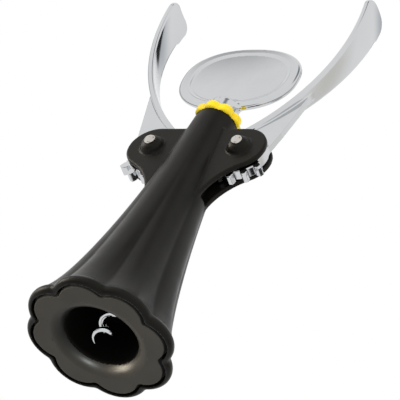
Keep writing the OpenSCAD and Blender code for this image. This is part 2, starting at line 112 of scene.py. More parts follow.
# Yoke
YOKE_R = 12.7
YOKE_HALF, YOKE_EDGE = 5.5, 0.9
SLOT_HALF, SLOT_EDGE = 3.0, 0.7
SWEEP_R = 30.0
WAIST_X = 13.5
SLOT_FLOOR_X = 10.5
SLOT_BOTTOM = 91.0
SLOT_GEAR_R = 17.8
BOSS_H, BOSS_BASE_R, BOSS_TOP_R = 4.0, 5.9, 4.1
BOSS_SOFT, BOSS_FILLET, BOSS_SUNK = 2.4, 0.8, 2.0
PIN_R, PIN_HEAD_R, PIN_HEAD_H = 2.0, 2.7, 1.5
PIN_TAIL, PIN_CHAMFER, PIN_HEAD_EDGE = 1.2, 0.2, 0.15
PIN_PLAY = 0.05

# Levers
LEVER_T = 5.0
GEAR_MODULE, GEAR_TEETH, SECTOR_TEETH = 2.2, 14, 7
PRESSURE = math.radians(20)
GEAR_ADD, RACK_ADD, ROOT_GAP, BACKLASH = 1.65, 1.5, 0.35, 0.4
TOOTH_SUNK, FLANK_STEPS = 1.0, 6
ARC_R = 97.0
TIP_LEAN, STRAP_ARC = math.radians(8.6), math.radians(61.8)
STRAP_T, STRAP_HALF, PADDLE_HALF = 2.95, 2.6, 10.0
STRAP_WIDENING = 1.2
STRAP_DISH = 1.1
STRAP_EDGE, LEVER_EDGE = 1.2, 0.35
STRAP_FILLET, WEB_FILLET = 0.6, 0.8
STRAP_TRIM = 1.2
PADDLE_STEP, PADDLE_STEP_AT, PADDLE_STEP_RUN = 0.9, 0.87, 0.015
WEB_HALF = 1.7
LEVER_HUB_R, BLANK_END = 11.8, math.radians(62)
PADDLE_ROUND, LEAST_ROUND = 6.3, 0.1
LEVER_OUT, LEVER_RISE = 27.6, 103.0
WEB_EDGE = [(9.6, -7.3), (11.9, 4), (14.3, 14), (16.6, 26), (18.6, 36), (20.6, 47)]
WEB_END = 0.5

# Collar, key and worm
COLLAR_LOBES, COLLAR_SCALLOP = 8, 1.7
COLLAR_RISE, COLLAR_SKIRT = 1.6, 0.4
COLLAR_SOFT, COLLAR_ROUND, COLLAR_PLAY = 0.6, 1.7, 0.02
KEY_H, KEY_T = 42.0, 4.0
KEY_POWER = 2.3
HUB_H, HUB_ROUND, HUB_FILLET = 11.0, 3.0, 2.5
KEY_DOME, KEY_EDGE = 0.3, 1.4
PANEL_SHARE, PANEL_EDGE, PANEL_DEPTH = 0.84, 0.07, 0.6
WORM_R, WIRE_R, WORM_PITCH = 4.9, 1.8, 10.0
WORM_TIP = 0.5
POINT_SHARE, POINT_TURNS, POINT_POWER = 0.03, 0.7, 0.8
WORM_AIM = math.radians(140)
SHANK_NECK, SHANK_LEN, SHANK_TURNS = 3.0, 13.0, 0.6

# Cells of the skins
BODY_STEP, PLATE_STEP, TUBE_STEP = 0.74, 0.45, 0.7
COLLAR_STEP, LEVER_STEP, KEY_STEP = 0.25, 0.5, 0.4

# Shares that turn a sloping field's steps back into about a distance
BELL_SLOPE, BOSS_SLOPE, LIP_SLOPE, KEY_SLOPE = 0.95, 0.86, 0.8, 0.9

# Point that the lamps aim at and the cards turn round
MIDDLE = (0, 0, 110)

# Fields: a field is negative inside its solid and about a distance in millimetres


def smooth_min(a, b, k):
    """Union of two fields with a fillet of about k."""
    h = np.clip(0.5 + 0.5 * (b - a) / k, 0, 1)
    return b + (a - b) * h - k * h * (1 - h)


def smooth_max(a, b, k):
    """Overlap of two fields with an edge rounded by about k."""
    return -smooth_min(-a, -b, k)


def rounded(a, b, r):
    """Overlap of two square fields with edges of radius r."""
    a, b = a + r, b + r
    return np.minimum(np.maximum(a, b), 0) + np.hypot(np.maximum(a, 0), np.maximum(b, 0)) - r


def between(v, low, high):
    return np.abs(v - (low + high) / 2) - (high - low) / 2


def polygon_field(points, u, v):
    """Signed distance from a closed outline, drawn anticlockwise or clockwise."""
    nearest, inside = None, None
    for (ax, ay), (bx, by) in zip(points, points[1:] + points[:1]):
        ex, ey = bx - ax, by - ay
        wu, wv = u - ax, v - ay
        t = np.clip((wu * ex + wv * ey) / (ex * ex + ey * ey), 0, 1)
        d = (wu - ex * t) ** 2 + (wv - ey * t) ** 2
        way = np.sign(by - ay)
        crosses = ((v >= ay) != (v >= by)) & (wu * (by - ay) * way < ex * wv * way)
        nearest = d if nearest is None else np.minimum(nearest, d)
        inside = crosses if inside is None else inside ^ crosses
    return np.where(inside, -1, 1) * np.sqrt(nearest)


def arc(centre, r, start, end, steps):
    """Points on an arc, with angles in degrees."""
    angles = np.radians(np.linspace(start, end, steps))
    return [(centre[0] + r * math.cos(a), centre[1] + r * math.sin(a)) for a in angles]


def lobe_radius(angle, r, depth, n, soften):
    """Radius of a scalloped outline, with its cusps softened."""
    d = (r * r - (r - depth) ** 2) / (2 * (r - (r - depth) * math.cos(math.pi / n)))
    step = 2 * math.pi / n
    own = np.abs(angle - np.round(angle / step) * step)

    def reach(b):
        b = np.minimum(b, math.pi / 2)
        return d * np.cos(b) + np.sqrt(np.maximum((r - d) ** 2 - (d * np.sin(b)) ** 2, 0.01))

    return smooth_max(reach(own), reach(step - own), soften)


# Skin of a field


def gradient(field, p, reach=0.02):
    steps = np.eye(3) * reach
    return np.stack([(field(*(p + s).T) - field(*(p - s).T)) / (2 * reach) for s in steps], 1)


def skin(field, low, high, step):
    """Points, quads and normals of a field's zero surface, with one point in each crossed cell."""
    passes, flattest, cell_reach = 4, 0.05, 0.7
    axes = [np.arange(a - step, b + 2 * step, step) for a, b in zip(low, high)]
    grid = np.meshgrid(*axes, indexing="ij", sparse=True)
    inside = np.broadcast_to(field(*grid), [len(a) for a in axes]) < 0
    corners = np.zeros([len(a) - 1 for a in axes], np.int8)
    for i in (0, 1):
        for j in (0, 1):
            for k in (0, 1):
                nx, ny, nz = corners.shape
                corners += inside[i:i + nx, j:j + ny, k:k + nz]
    cells = np.argwhere((corners > 0) & (corners < 8))
    number = np.full(corners.shape, -1, np.int64)
    number[tuple(cells.T)] = np.arange(len(cells))
    centres = np.array([a[0] for a in axes]) + (cells + 0.5) * step
    points = centres.copy()
    for _ in range(passes):
        g = gradient(field, points)
        points -= (field(*points.T) / np.maximum((g * g).sum(1), flattest))[:, None] * g
        points = np.clip(points, centres - cell_reach * step, centres + cell_reach * step)
    normals = gradient(field, points)
    normals /= np.maximum(np.linalg.norm(normals, axis=1), 1e-6)[:, None]
    return points, np.concatenate([quads_across(inside, number, axis) for axis in range(3)]), normals


def quads_across(inside, number, axis):
    """A quad for each grid edge along an axis that the surface crosses."""
    turned = np.moveaxis(inside, axis, 0)
    ids = np.moveaxis(number, axis, 0)
    first, second = turned[:-1, 1:-1, 1:-1], turned[1:, 1:-1, 1:-1]
    ring = [ids[:, :-1, :-1], ids[:, 1:, :-1], ids[:, 1:, 1:], ids[:, :-1, 1:]]
    leaving, entering = first & ~second, second & ~first
    if axis == 1:
        leaving, entering = entering, leaving
    out = np.stack([r[leaving] for r in ring], 1)
    back = np.stack([r[entering] for r in ring[::-1]], 1)
    return np.concatenate([out, back])


def mesh_object(name, points, faces, normals=None):
    """A smooth object from points in millimetres and quads."""
    mesh = bpy.data.meshes.new(name)
    mesh.from_pydata(np.asarray(points) * MM, [], [list(face) for face in faces])
    mesh.update()
    mesh.shade_smooth()
    if normals is not None:
        mesh.normals_split_custom_set_from_vertices(normals.tolist())
    obj = bpy.data.objects.new(name, mesh)
    scene.collection.objects.link(obj)
    return obj


def dress(obj, body, slot, material, *nodes):
    """Gives a new piece its finish and its body, and hides the CAD nodes that it stands for."""
    obj.data.materials.clear()
    obj.data.materials.append(material)
    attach(obj, body)
    if nodes:
        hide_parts(*nodes)
    return obj


# Materials


class Shader:
    """A material with one Principled shader and short calls for its nodes."""

    def __init__(self, name):
        self.material = bpy.data.materials.new(name)
        self.material.use_nodes = True
        self.nodes = self.material.node_tree.nodes
        self.links = self.material.node_tree.links
        self.surface = self.nodes["Principled BSDF"]
        self.place = self.nodes.new("ShaderNodeTexCoord").outputs["Object"]

    def set(self, **values):
        for name, value in values.items():
            self.surface.inputs[name.replace("_", " ")].default_value = value

    def scaled(self, shares):
        """The place on the piece, times a share along each axis."""
        node = self.nodes.new("ShaderNodeVectorMath")
        node.operation = "MULTIPLY"
        node.inputs[1].default_value = shares
        self.links.new(self.place, node.inputs[0])
        return node.outputs["Vector"]

    def noise(self, scale, detail=3.0, shares=(1, 1, 1)):
        """Noise with about scale features in a millimetre, or a share of that along an axis."""
        node = self.nodes.new("ShaderNodeTexNoise")
        node.inputs["Scale"].default_value = scale / MM
        node.inputs["Detail"].default_value = detail
        self.links.new(self.scaled(shares), node.inputs["Vector"])
        return node.outputs["Fac"]

    def spread(self, value, low, high, start=0.3, end=0.7):
        """A value turned into a number or a colour between two limits."""
        if isinstance(low, float):
            node = self.nodes.new("ShaderNodeMapRange")
            for name, number in zip(("From Min", "From Max", "To Min", "To Max"), (start, end, low, high)):
                node.inputs[name].default_value = number
            self.links.new(value, node.inputs["Value"])
            return node.outputs["Result"]
        node = self.nodes.new("ShaderNodeValToRGB")
        for element, position, colour in zip(node.color_ramp.elements, (start, end), (low, high)):
            element.position = position
            element.color = (*colour, 1)
        self.links.new(value, node.inputs["Fac"])
        return node.outputs["Color"]

    def height(self, low, high):
        """0 below one height and 1 above another."""
        split = self.nodes.new("ShaderNodeSeparateXYZ")
        self.links.new(self.place, split.inputs["Vector"])
        return self.spread(split.outputs["Z"], 0.0, 1.0, low * MM, high * MM)

    def reach(self, low, high):
        """0 within one distance of the screw axis and 1 beyond another."""
        node = self.nodes.new("ShaderNodeVectorMath")
        node.operation = "LENGTH"
        self.links.new(self.scaled((1, 1, 0)), node.inputs[0])
        return self.spread(node.outputs["Value"], 0.0, 1.0, low * MM, high * MM)

    def both(self, first, second):
        node = self.nodes.new("ShaderNodeMath")
        node.operation = "MULTIPLY"
        self.links.new(first, node.inputs[0])
        self.links.new(second, node.inputs[1])
        return node.outputs["Value"]

    def fade(self, share, socket, value):
        """Turns what feeds a socket into another value where the share is 1."""
        mix = self.nodes.new("ShaderNodeMixRGB")
        mix.inputs["Color2"].default_value = value
        self.links.new(share, mix.inputs["Fac"])
        self.links.new(self.surface.inputs[socket].links[0].from_socket, mix.inputs["Color1"])
        self.link(mix.outputs["Color"], socket)

    def link(self, value, socket):
        self.links.new(value, self.surface.inputs[socket])

    def bump(self, height, strength, depth):
        """A bump of about depth millimetres."""
        node = self.nodes.new("ShaderNodeBump")
        node.inputs["Strength"].default_value = strength
        node.inputs["Distance"].default_value = depth * MM
        self.links.new(height, node.inputs["Height"])
        self.link(node.outputs["Normal"], "Normal")


def satin_black(name, smoothest, roughest):
    s = Shader(name)
    s.set(Specular_IOR_Level=0.12, Specular_Tint=(1, 0.99, 0.88, 1))
    s.link(s.spread(s.noise(0.05), (0.0058, 0.0054, 0.0046), (0.0078, 0.0072, 0.0062)), "Base Color")
    s.link(s.spread(s.noise(0.12), smoothest, roughest), "Roughness")
    s.bump(s.noise(5.0, 2.0), 0.12, 0.03)
    return s


def black_plastic():
    return satin_black("black_plastic", 0.31, 0.40).material


def mouth_plastic():
    """The same plastic, with painted shade: matt and near black on the wall inside the throat and in the seam
    round the plate.
    """
    s = satin_black("mouth_plastic", 0.34, 0.42)
    throat_shade = s.height(PLATE_INSET + LIP_DEPTH - TUBE_MARGIN, PLATE_INSET + LIP_ROUND)
    # Painted shade in the seam: the plate's edge behind its face and outside the lip is darkened
    behind = s.height(*(PLATE_INSET + depth for depth in SEAM_SHADE_DEPTHS))
    outside = s.reach(*(THROAT_R + LIP_ROUND + reach for reach in SEAM_SHADE_REACHES))
    seam = s.both(behind, outside)
    # Painted shade: near black and rough where the throat goes deep and in the seam round the plate
    for share in (throat_shade, seam):
        s.fade(share, "Base Color", (0.0012, 0.0011, 0.001, 1))
        s.fade(share, "Roughness", (0.9, 0.9, 0.9, 1))
    return s.material


def yellow_plastic():
    s = Shader("yellow_plastic")
    s.set(Specular_IOR_Level=0.5, Subsurface_Weight=0.08, Subsurface_Radius=(0.002, 0.001, 0.0003))
    s.link(s.spread(s.noise(0.2), (0.98, 0.68, 0.003), (1.0, 0.75, 0.006)), "Base Color")
    s.link(s.spread(s.noise(0.4), 0.26, 0.36), "Roughness")
    s.bump(s.noise(3.0, 2.0), 0.06, 0.02)
    return s.material


def chrome():
    s = Shader("chrome")
    s.set(Metallic=1.0)
    s.link(s.spread(s.noise(0.03), (0.575, 0.588, 0.60), (0.62, 0.63, 0.64)), "Base Color")
    s.link(s.spread(s.noise(0.25), 0.05, 0.11), "Roughness")
    s.bump(s.noise(0.45, 2.0, (1, 1, 0.1)), 0.12, 0.02)
    return s.material


def steel():
    s = Shader("steel")
    s.set(Metallic=1.0)
    s.link(s.spread(s.noise(0.15), (0.52, 0.49, 0.45), (0.62, 0.59, 0.55)), "Base Color")
    s.link(s.spread(s.noise(1.2), 0.18, 0.30), "Roughness")
    s.bump(s.noise(2.5, 2.0), 0.08, 0.01)
    return s.material


def nylon():
    s = Shader("nylon")
    s.set(Subsurface_Weight=0.15, Subsurface_Radius=(0.001, 0.001, 0.0008))
    s.link(s.spread(s.noise(0.3), (0.76, 0.76, 0.71), (0.82, 0.82, 0.77)), "Base Color")
    s.link(s.spread(s.noise(0.8), 0.42, 0.55), "Roughness")
    s.bump(s.noise(3.0, 2.0), 0.06, 0.01)
    return s.material


FINISHES = {m.__name__: m() for m in (black_plastic, mouth_plastic, yellow_plastic, chrome, steel, nylon)}


# Body


def bell_radius(x, y, z):
    """Radius of the bell towards a point, with flutes that fade towards the neck."""
    u = np.clip((BODY_H - z) / (BODY_H - RIM_H), 0, 1)
    growth = BELL_TAPER * u + BELL_SWELL * u ** SWELL_POWER + BELL_FLARE * u ** FLARE_POWER
    plain = NECK_R + (FOOT_R - RIM_STEP - NECK_R) * growth
    dip = FOOT_R - lobe_radius(np.arctan2(y, x), FOOT_R, SCALLOP, LOBES, FLUTE_SOFT)
    return plain - dip * u ** FLUTE_POWER


def yoke_outline():
    """Right arm of the yoke in X and Z, from the waist round the pivot and along the top."""
    sweep_x = WAIST_X + SWEEP_R
    drop = math.sqrt((SWEEP_R + YOKE_R) ** 2 - (sweep_x - PIVOT_X) ** 2)
    sweep = (sweep_x, PIVOT_Z - drop)
    lean = math.degrees(math.atan2(drop, sweep_x - PIVOT_X))
    outer = arc((PIVOT_X, PIVOT_Z), YOKE_R, -lean, 90, 24)
    under = arc(sweep, SWEEP_R, 180, 180 - lean, 16)
    return [(-1, sweep[1])] + under + outer + [(-1, PIVOT_Z + YOKE_R)]


YOKE = yoke_outline()


def body_field(x, y, z):
    r = np.hypot(x, y)
    ax, ay = np.abs(x), np.abs(y)
    angle = np.arctan2(y, x)
    bell = np.maximum((r - bell_radius(x, y, z)) * BELL_SLOPE, between(z, RIM_H / 2, BODY_H))
    hem = rounded(r - lobe_radius(angle, FOOT_R, SCALLOP, LOBES, HEM_SOFT), between(z, 0, RIM_H), RIM_ROUND)
    solid = smooth_min(bell, hem, BODY_FILLET)
    yoke = rounded(polygon_field(YOKE, ax, z), ay - YOKE_HALF, YOKE_EDGE)
    solid = smooth_min(solid, yoke, BODY_FILLET)
    from_pivot = np.hypot(ax - PIVOT_X, z - PIVOT_Z)
    rise = ay - YOKE_HALF
    cone = (from_pivot - BOSS_BASE_R + (BOSS_BASE_R - BOSS_TOP_R) * rise / BOSS_H) * BOSS_SLOPE
    boss = smooth_max(cone, between(rise, -BOSS_SUNK, BOSS_H), BOSS_SOFT)
    solid = smooth_min(solid, boss, BOSS_FILLET)
    solid = np.minimum(solid, np.maximum(r - SPIGOT_R, between(z, BODY_H - SPIGOT_SUNK, SPIGOT_TOP)))
    hollow = np.maximum(r - (bell_radius(x, y, z) - BODY_WALL), z - CAVITY_H)
    bore = np.maximum(r - BORE_R, CAVITY_H - BORE_LAP - z)
    seam = lobe_radius(angle, PLATE_R + PLATE_GAP, PLATE_SCALLOP, LOBES, SEAM_SOFT)
    pocket = np.maximum(r - seam, z - PLATE_INSET - PLATE_T)
    seat_top = PLATE_INSET + PLATE_T + PLATE_SPIGOT_H + SEAT_ROOM
    seat = np.maximum(r - PLATE_SPIGOT_R - SEAT_GAP, z - seat_top)
    hollow = np.maximum(hollow, PLATE_INSET + PLATE_T + PLATE_SPIGOT_H - z)
    solid = smooth_max(solid, -pocket, POCKET_EDGE)
    solid = np.maximum(solid, -np.minimum(np.minimum(hollow, bore), seat))
    gear_room = np.minimum(from_pivot - SLOT_GEAR_R, np.maximum(SLOT_FLOOR_X - ax, SLOT_BOTTOM - z))
    solid = smooth_max(solid, -np.maximum(gear_room, ay - SLOT_HALF), SLOT_EDGE)
    return np.maximum(solid, PIN_R - from_pivot)


def make_body():
    low, high = node_box("body_shell")
    shell = mesh_object("moulded_body", *skin(body_field, low, high, BODY_STEP))
    dress(shell, "body", "black_plastic", FINISHES["black_plastic"], "body_shell")


# Mouth plate


def mouth_field(x, y, z):
    r = np.hypot(x, y)
    outline = r - lobe_radius(np.arctan2(y, x), PLATE_R - PLATE_TRIM, PLATE_SCALLOP, LOBES, SEAM_SOFT)
    plate_top = PLATE_INSET + PLATE_T
    solid = rounded(outline, between(z, PLATE_INSET, plate_top), PLATE_EDGE)
    tube = np.maximum(r - THROAT_R - GUIDE_WALL, between(z, PLATE_INSET + PLATE_LAP, GUIDE_TOP))
    solid = np.minimum(solid, tube)
    spigot = np.maximum(np.abs(r - PLATE_SPIGOT_R + GUIDE_WALL / 2) - GUIDE_WALL / 2,
                        between(z, PLATE_INSET + PLATE_LAP, plate_top + PLATE_SPIGOT_H))
    solid = np.minimum(solid, spigot)
    lip_top = PLATE_INSET + LIP_ROUND
    drop = np.clip(lip_top - z, 0, LIP_ROUND)
    throat = r - THROAT_R - LIP_ROUND + np.sqrt(LIP_ROUND ** 2 - drop ** 2)
    throat = np.maximum(throat * LIP_SLOPE, z - GUIDE_TOP + STOP_T)
    return np.maximum(solid, -np.minimum(throat, r - STOP_R))


def tube_room(x, y, z):
    """The space that the guide tube takes up above the lip."""
    across = THROAT_R + GUIDE_WALL + TUBE_MARGIN
    return np.maximum(np.hypot(x, y) - across, PLATE_INSET + LIP_DEPTH - z)


def make_mouth():
    """The plate with its rolled lip, and the guide tube behind it."""
    low, high = node_box("mouth_plate")
    plate_skin = skin(lambda *p: np.maximum(mouth_field(*p), -tube_room(*p)), low, high, PLATE_STEP)
    plate = mesh_object("moulded_mouth", *plate_skin)
    dress(plate, "body", "black_plastic", FINISHES["mouth_plastic"], "mouth_plate")
    tube_skin = skin(lambda *p: np.maximum(mouth_field(*p), tube_room(*p)), low, high, TUBE_STEP)
    tube = mesh_object("guide_tube", *tube_skin)
    dress(tube, "body", "black_plastic", FINISHES["mouth_plastic"], "mouth_plate")


# Collar


def collar_field(x, y, z):
    r = np.hypot(x, y)
    outline = r - lobe_radius(np.arctan2(y, x), COLLAR_R, COLLAR_SCALLOP, COLLAR_LOBES, COLLAR_SOFT)
    ring = rounded(outline, between(z, COLLAR_LOW - COLLAR_SKIRT, COLLAR_TOP + COLLAR_RISE), COLLAR_ROUND)
    ring = np.maximum(ring, BORE_R - r)
    ring = np.maximum(ring, -np.maximum(r - SPIGOT_R - COLLAR_PLAY, z - SPIGOT_TOP))
    return np.maximum(ring, -np.maximum(r - NECK_R - COLLAR_PLAY, z - COLLAR_LOW))


def make_collar():
    low, high = node_box("collar")
    low.z, high.z = low.z - COLLAR_SKIRT, high.z + COLLAR_RISE
    ring = mesh_object("beaded_collar", *skin(collar_field, low, high, COLLAR_STEP))
    dress(ring, "body", "yellow_plastic", FINISHES["yellow_plastic"], "collar")


# Levers


PITCH_R = GEAR_MODULE * GEAR_TEETH / 2
BASE_R = PITCH_R * math.cos(PRESSURE)
GEAR_TIP_R = PITCH_R + GEAR_ADD
GEAR_ROOT_R = PITCH_R - RACK_ADD - ROOT_GAP
ARC_CENTRE = (PIVOT_X + LEVER_OUT - ARC_R * math.cos(TIP_LEAN),
              PIVOT_Z + LEVER_RISE - ARC_R * math.sin(TIP_LEAN))


def involute_roll(r):
    a = math.acos(min(1, BASE_R / r))
    return math.tan(a) - a


def tooth_outline(turn):
    """One involute tooth about the right pivot, in X and Z."""
    flank = [BASE_R + (GEAR_TIP_R - BASE_R) * i / FLANK_STEPS for i in range(FLANK_STEPS + 1)]
    radii = [GEAR_ROOT_R - TOOTH_SUNK] + flank
    halves = [math.pi / 2 / GEAR_TEETH + involute_roll(PITCH_R) - involute_roll(max(r, BASE_R))
              - BACKLASH / 4 / PITCH_R for r in radii]
    sides = [(r, -h) for r, h in zip(radii, halves)] + [(r, h) for r, h in zip(radii, halves)][::-1]
    return [(PIVOT_X + r * math.cos(turn + h), PIVOT_Z + r * math.sin(turn + h)) for r, h in sides]


TEETH = [tooth_outline(math.pi + (i - 0.5) * 2 * math.pi / GEAR_TEETH) for i in range(SECTOR_TEETH)]


def strap_point(v, out):
    """A point at a share of the strap's length, some way out from its inner face, in X and Z."""
    a = TIP_LEAN - STRAP_ARC * (1 - v)
    return (ARC_CENTRE[0] + (ARC_R + out) * math.cos(a), ARC_CENTRE[1] + (ARC_R + out) * math.sin(a))


WEB = ([(PIVOT_X, PIVOT_Z)] + [(PIVOT_X + u, PIVOT_Z + v) for u, v in WEB_EDGE]
       + [strap_point(WEB_END * i / 8, STRAP_T / 2) for i in range(8, -1, -1)])


def lever_field(x, y, z):
    ay = np.abs(y)
    from_pivot = np.hypot(x - PIVOT_X, z - PIVOT_Z)
    past_teeth = (x - PIVOT_X) * math.cos(BLANK_END) + (z - PIVOT_Z) * math.sin(BLANK_END)
    blank = np.minimum(np.maximum(from_pivot - GEAR_ROOT_R, past_teeth), from_pivot - LEVER_HUB_R)
    for tooth in TEETH:
        blank = np.minimum(blank, polygon_field(tooth, x, z))
    gear = rounded(blank, ay - LEVER_T / 2, LEVER_EDGE)
    web = rounded(polygon_field(WEB, x, z), ay - WEB_HALF, LEVER_EDGE)
    plate = smooth_min(gear, web, WEB_FILLET)
    dx, dz = x - ARC_CENTRE[0], z - ARC_CENTRE[1]
    v = 1 - (TIP_LEAN - np.arctan2(dz, dx)) / STRAP_ARC
    along = (v - 1) * STRAP_ARC * ARC_R + STRAP_TRIM
    half = STRAP_HALF + (PADDLE_HALF - STRAP_HALF) * np.clip(v, 0, 1) ** STRAP_WIDENING
    below_step = np.clip((PADDLE_STEP_AT - v) / PADDLE_STEP_RUN, 0, np.clip(v, 0, 1))
    half = half - PADDLE_STEP * below_step * (y > 0)
    dish = STRAP_DISH * (y / PADDLE_HALF) ** 2
    face = np.abs(np.hypot(dx, dz) - ARC_R - STRAP_T / 2 + dish) - STRAP_T / 2
    sides = rounded(ay - half, along, PADDLE_ROUND * np.clip(half / PADDLE_HALF, LEAST_ROUND, 1))
    strap = rounded(np.maximum(sides, -along - STRAP_ARC * ARC_R), face, STRAP_EDGE)
    solid = smooth_min(plate, strap, STRAP_FILLET)
    return np.maximum(solid, PIN_R + PIN_PLAY - from_pivot)


def make_levers():
    low, high = node_box("lever_right")
    points, faces, normals = skin(lever_field, low, high, LEVER_STEP)
    flip = np.array([-1, 1, 1])
    for side, turn in (("right", 1), ("left", flip)):
        quads = faces if side == "right" else faces[:, ::-1]
        lever = mesh_object(f"cast_lever_{side}", points * turn, quads, normals * turn)
        dress(lever, f"lever_{side}", "chrome", FINISHES["chrome"], f"lever_{side}")


# Turning key


def key_field(x, y, z):
    middle = KEY_TOP - KEY_H / 2
    shape = (np.abs(x / KEY_HALF_W) ** KEY_POWER + np.abs((z - middle) / (KEY_H / 2)) ** KEY_POWER)
    share = shape ** (1 / KEY_POWER)
    oval = (share - 1) * KEY_H / 2 * KEY_SLOPE
    panel = np.clip((PANEL_SHARE - share) / PANEL_EDGE, 0, 1)
    sunk = PANEL_DEPTH * panel * panel * (3 - 2 * panel)
    face = (np.abs(y) - KEY_T / 2 + KEY_DOME * share ** 2 + sunk) * KEY_SLOPE
    plate = rounded(oval, face, KEY_EDGE)
    hub = rounded(np.hypot(x, y) - HUB_R, between(z, HUB_BOTTOM, HUB_BOTTOM + HUB_H), HUB_ROUND)
    return smooth_min(plate, hub, HUB_FILLET)


def make_key():
    low, high = node_box("turning_key")
    key = mesh_object("oval_key", *skin(key_field, low, high, KEY_STEP))
    dress(key, "screw", "chrome", FINISHES["chrome"], "turning_key")


# Worm


def ease(x):
    """A smooth step from 0 to 1."""
    c = min(1, max(0, x))
    return c * c * (3 - 2 * c)


def make_worm():
    """A round wire on a helix, ground to a point below, that runs into a straight shank above."""
    top = SPINDLE_BOTTOM - SHANK_NECK
    turns = (top - WORM_TIP) / WORM_PITCH
    rings, sides, nudge = 48, 20, 0.01

    def spine(t):
        a = WORM_AIM + 2 * math.pi * min(t, turns)
        r = (WORM_R - WIRE_R) * ease((turns - t) / SHANK_TURNS)
        return Vector((r * math.cos(a), r * math.sin(a), WORM_TIP + WORM_PITCH * t))

    end = turns + (SHANK_NECK + SHANK_LEN) / WORM_PITCH
    count = int(end * rings)
    points, faces = [], []
    for i in range(count + 1):
        t = end * i / count
        grown = min(1, t / POINT_TURNS) ** POINT_POWER
        wire = WIRE_R * (POINT_SHARE + (1 - POINT_SHARE) * grown)
        along = (spine(t + nudge) - spine(t - nudge)).normalized()
        a = WORM_AIM + 2 * math.pi * t
        side = along.cross(Vector((math.cos(a), math.sin(a), 0))).normalized()
        out = side.cross(along)
        for j in range(sides):
            q = 2 * math.pi * j / sides
            points.append(spine(t) + wire * (out * math.cos(q) + side * math.sin(q)))
    for i in range(count):
        for j in range(sides):
            k = (j + 1) % sides
            faces.append((i * sides + j, i * sides + k, (i + 1) * sides + k, (i + 1) * sides + j))
    for first, centre in ((0, spine(0)), (count * sides, spine(end))):
        points.append(centre)
        faces += [(first + j, first + (j + 1) % sides, len(points) - 1) for j in range(sides)]
    worm = mesh_object("wire_worm", points, faces)
    dress(worm, "screw", "chrome", FINISHES["chrome"], "worm")


# Pivot pins


def lathe(name, profile, steps=48):
    """A turned piece about Z from [radius, height] points, from bottom to top."""
    points = [(r * math.cos(2 * math.pi * j / steps), r * math.sin(2 * math.pi * j / steps), h)
              for r, h in profile for j in range(steps)]
    faces = [(i * steps + j, i * steps + (j + 1) % steps, (i + 1) * steps + (j + 1) % steps,
              (i + 1) * steps + j) for i in range(len(profile) - 1) for j in range(steps)]
    return mesh_object(name, points, faces)


def make_pins():
    """Each pin has a domed front head that stands on its boss."""
    reach = YOKE_HALF + BOSS_H
    bottom = -reach - PIN_TAIL
    near_axis, short_of_top, dome_steps, crease = 0.01, 0.02, 10, math.radians(40)
    dome = [(PIN_HEAD_R * math.cos(a), reach + PIN_HEAD_EDGE + (PIN_HEAD_H - PIN_HEAD_EDGE) * math.sin(a))
            for a in np.linspace(0, math.pi / 2 - short_of_top, dome_steps)]
    profile = [(near_axis, bottom), (PIN_R - PIN_CHAMFER, bottom), (PIN_R, bottom + PIN_CHAMFER),
               (PIN_R, reach), (PIN_HEAD_R, reach)] + dome
    lay_down = Matrix.Rotation(math.pi / 2, 4, "X")
    for side, turn in (("right", 1), ("left", -1)):
        pin = lathe(f"rivet_{side}", profile)
        place = Matrix.Translation((turn * PIVOT_X * MM, 0, PIVOT_Z * MM))
        pin.data.transform(place @ lay_down)
        pin.data.set_sharp_from_angle(angle=crease)
        dress(pin, "body", "steel", FINISHES["steel"], f"pivot_pin_{side}")


# CAD pieces whose shape is right


def finish_cad_nodes():
    """Gives every CAD node the finish that the record names for it."""
    for part in frame["record"]["subparts"]:
        node = frame["nodes"][part["node"]]
        node.data.materials.clear()
        node.data.materials.append(FINISHES[part["material_slot"]])


make_body()
make_mouth()
make_collar()
make_levers()
make_key()
make_worm()
make_pins()
finish_cad_nodes()


# Floor, background and light


def make_floor():
    """A pale floor that fades out into the background, and shows from above only, because the
    photograph looks up from below it."""
    half, fade_start, fade_end = 2000, 0.25, 0.9
    floor = mesh_object("floor", [(-half, -half, 0), (half, -half, 0), (half, half, 0), (-half, half, 0)],
                        [(0, 1, 2, 3)])
    material = bpy.data.materials.new("pale_floor")
    material.use_nodes = True
    nodes, links = material.node_tree.nodes, material.node_tree.links
    nodes["Principled BSDF"].inputs["Base Color"].default_value = (0.88, 0.88, 0.87, 1)
    nodes["Principled BSDF"].inputs["Roughness"].default_value = 0.8
    geometry = nodes.new("ShaderNodeNewGeometry")
    away = nodes.new("ShaderNodeVectorMath")
    away.operation = "LENGTH"
    links.new(geometry.outputs["Position"], away.inputs[0])
    fade = nodes.new("ShaderNodeMapRange")
    fade.interpolation_type = "SMOOTHSTEP"
    fade.inputs["From Min"].default_value = fade_start
    fade.inputs["From Max"].default_value = fade_end
    links.new(away.outputs["Value"], fade.inputs["Value"])
    clear = nodes.new("ShaderNodeMath")
    clear.operation = "MAXIMUM"
    links.new(geometry.outputs["Backfacing"], clear.inputs[0])
    links.new(fade.outputs["Result"], clear.inputs[1])
    mix = nodes.new("ShaderNodeMixShader")
    links.new(clear.outputs["Value"], mix.inputs["Fac"])
    links.new(nodes["Principled BSDF"].outputs["BSDF"], mix.inputs[1])
    links.new(nodes.new("ShaderNodeBsdfTransparent").outputs["BSDF"], mix.inputs[2])
    links.new(mix.outputs["Shader"], nodes["Material Output"].inputs["Surface"])
    floor.data.materials.append(material)
    floor.visible_shadow = False
    floor.visible_diffuse = False
    floor.visible_glossy = False


